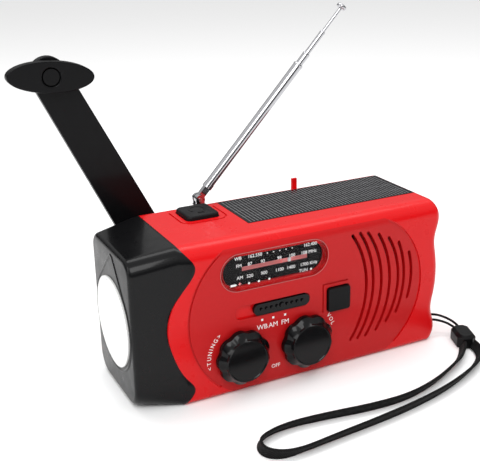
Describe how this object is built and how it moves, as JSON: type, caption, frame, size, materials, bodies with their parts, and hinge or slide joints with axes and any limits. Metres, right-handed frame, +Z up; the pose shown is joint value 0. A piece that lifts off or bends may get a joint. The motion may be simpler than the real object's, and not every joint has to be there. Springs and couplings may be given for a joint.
{
  "type": "emergency radio",
  "caption": "Hand-crank emergency radio with solar panel, flashlight, dial, telescopic antenna and wrist strap.",
  "frame": {"origin": "on the flat underside of the case, 0.5 mm from the middle of its length", "axes": "X along the length with the flashlight at -X, the front with the dial faces -Y, +Z up"},
  "size_m": [0.1637, 0.1026, 0.1316],
  "materials": {
    "red_shell": "satin moulded red",
    "black_plastic": "matte moulded black",
    "black_rubber": "matte",
    "clear": "clear",
    "window": "glossy",
    "reflector_silver": "bright",
    "chrome": "bright",
    "steel": "plain",
    "brass": "plain",
    "solar": "glossy black cell",
    "board": "green board",
    "white_plastic": "matte",
    "speaker_black": "matte",
    "ferrite": "dark",
    "copper": "enamelled wire",
    "cell_wrap": "shrink wrap",
    "webbing": "woven"
  },
  "bodies": {
    "radio": {"front_shell": "red_shell", "rear_shell": "red_shell", "flashlight_cap": "black_plastic", "lens_ring": "white_plastic", "flashlight_lens": "clear", "reflector": "reflector_silver", "led_board": "white_plastic", "solar_panel": "solar", "flashlight_switch": "black_plastic", "tuning_capacitor": "white_plastic", "volume_potentiometer": "steel", "dial_window": "window", "dial_plate": "black_plastic", "band_switch": "steel", "square_switch": "black_plastic", "speaker_frame": "steel", "speaker_cone": "speaker_black", "speaker_magnet": "ferrite", "main_board": "board", "battery_cell": "cell_wrap", "ferrite_rod": "ferrite", "ferrite_coil": "copper", "generator": "steel", "idler_axle": "steel", "crank_bush": "brass", "usb_sockets": "steel", "case_screws": "steel", "strap_pin": "steel", "strap_bead": "black_plastic", "strap_cord": "webbing", "strap_tape": "webbing"},
    "crank": {"crank_gear": "white_plastic", "crank_shaft": "steel", "crank_arm": "black_plastic", "hub_cap": "black_plastic", "grip_pin": "steel"},
    "grip": {"crank_grip": "black_plastic"},
    "idler": {"idler_gear": "white_plastic"},
    "rotor": {"rotor_pinion": "steel"},
    "tuning": {"tuning_knob": "black_plastic", "tuning_shaft": "white_plastic"},
    "volume": {"volume_knob": "black_plastic", "volume_shaft": "steel"},
    "needle": {"dial_needle": "white_plastic"},
    "slider": {"band_slider": "black_plastic"},
    "square": {"square_button": "black_plastic"},
    "light_button": {"flashlight_button": "black_rubber"},
    "antenna_swivel": {"antenna_post": "chrome", "antenna_pin": "steel"},
    "antenna_main": {"antenna_knuckle": "chrome", "antenna_main_tube": "chrome"},
    "antenna_2": {"antenna_section_2": "chrome"},
    "antenna_3": {"antenna_section_3": "chrome"},
    "antenna_4": {"antenna_section_4": "chrome", "antenna_tip": "chrome"},
    "cover": {"port_cover": "black_rubber"}
  },
  "joints": [
    {"name": "crank_turn", "type": "hinge", "parent": "radio", "child": "crank", "pos_m": [-0.032, 0.029, 0.03], "axis": [0, 1, 0], "continuous": true},
    {"name": "grip_spin", "type": "hinge", "parent": "crank", "child": "grip", "pos_m": [-0.0723, 0.0254, 0.1129], "axis": [0, 1, 0], "continuous": true},
    {"name": "idler_spin", "type": "hinge", "parent": "radio", "child": "idler", "pos_m": [-0.014, 0.017, 0.03], "axis": [0, 1, 0], "continuous": true},
    {"name": "rotor_spin", "type": "hinge", "parent": "radio", "child": "rotor", "pos_m": [-0.002, 0.013, 0.03], "axis": [0, 1, 0], "continuous": true},
    {"name": "tuning_turn", "type": "hinge", "parent": "radio", "child": "tuning", "pos_m": [-0.0246, -0.025, 0.015], "axis": [0, 1, 0], "range_deg": [-190, 70]},
    {"name": "needle_slide", "type": "slide", "parent": "radio", "child": "needle", "axis": [1, 0, 0], "range_m": [-0.0184, 0.0068]},
    {"name": "volume_turn", "type": "hinge", "parent": "radio", "child": "volume", "pos_m": [0.0018, -0.025, 0.015], "axis": [0, 1, 0], "range_deg": [0, 280]},
    {"name": "band_slide", "type": "slide", "parent": "radio", "child": "slider", "axis": [1, 0, 0], "range_m": [-0.0072, 0]},
    {"name": "square_press", "type": "slide", "parent": "radio", "child": "square", "axis": [0, 1, 0], "range_m": [0, 0.0008], "stiffness_N_per_m": 600},
    {"name": "light_press", "type": "slide", "parent": "radio", "child": "light_button", "axis": [0, 0, -1], "range_m": [0, 0.001], "stiffness_N_per_m": 600, "springref_m": -0.0003},
    {"name": "antenna_turn", "type": "hinge", "parent": "radio", "child": "antenna_swivel", "pos_m": [-0.0208, 0.0196, 0.0617], "axis": [0, 0, 1], "range_deg": [-40, 120]},
    {"name": "antenna_tilt", "type": "hinge", "parent": "antenna_swivel", "child": "antenna_main", "pos_m": [-0.0208, 0.0196, 0.0617], "axis": [0, -1, 0], "range_deg": [-46.5, 90]},
    {"name": "section_2_slide", "type": "slide", "parent": "antenna_main", "child": "antenna_2", "axis": [0.682, 0, 0.7314], "range_m": [-0.005, 0.042]},
    {"name": "section_3_slide", "type": "slide", "parent": "antenna_2", "child": "antenna_3", "axis": [0.682, 0, 0.7314], "range_m": [-0.0104, 0.033]},
    {"name": "section_4_slide", "type": "slide", "parent": "antenna_3", "child": "antenna_4", "axis": [0.682, 0, 0.7314], "range_m": [-0.011, 0.0285]},
    {"name": "cover_swing", "type": "hinge", "parent": "radio", "child": "cover", "pos_m": [0.026, 0.023, 0.0456], "axis": [1, 0, 0], "range_deg": [0, 95]}
  ],
  "couplings": [
    {"joint": "idler_spin", "follows": "crank_turn", "ratio": -3.5},
    {"joint": "rotor_spin", "follows": "crank_turn", "ratio": 10.5},
    {"joint": "needle_slide", "follows": "tuning_turn", "m_per_rad": 0.00554}
  ]
}
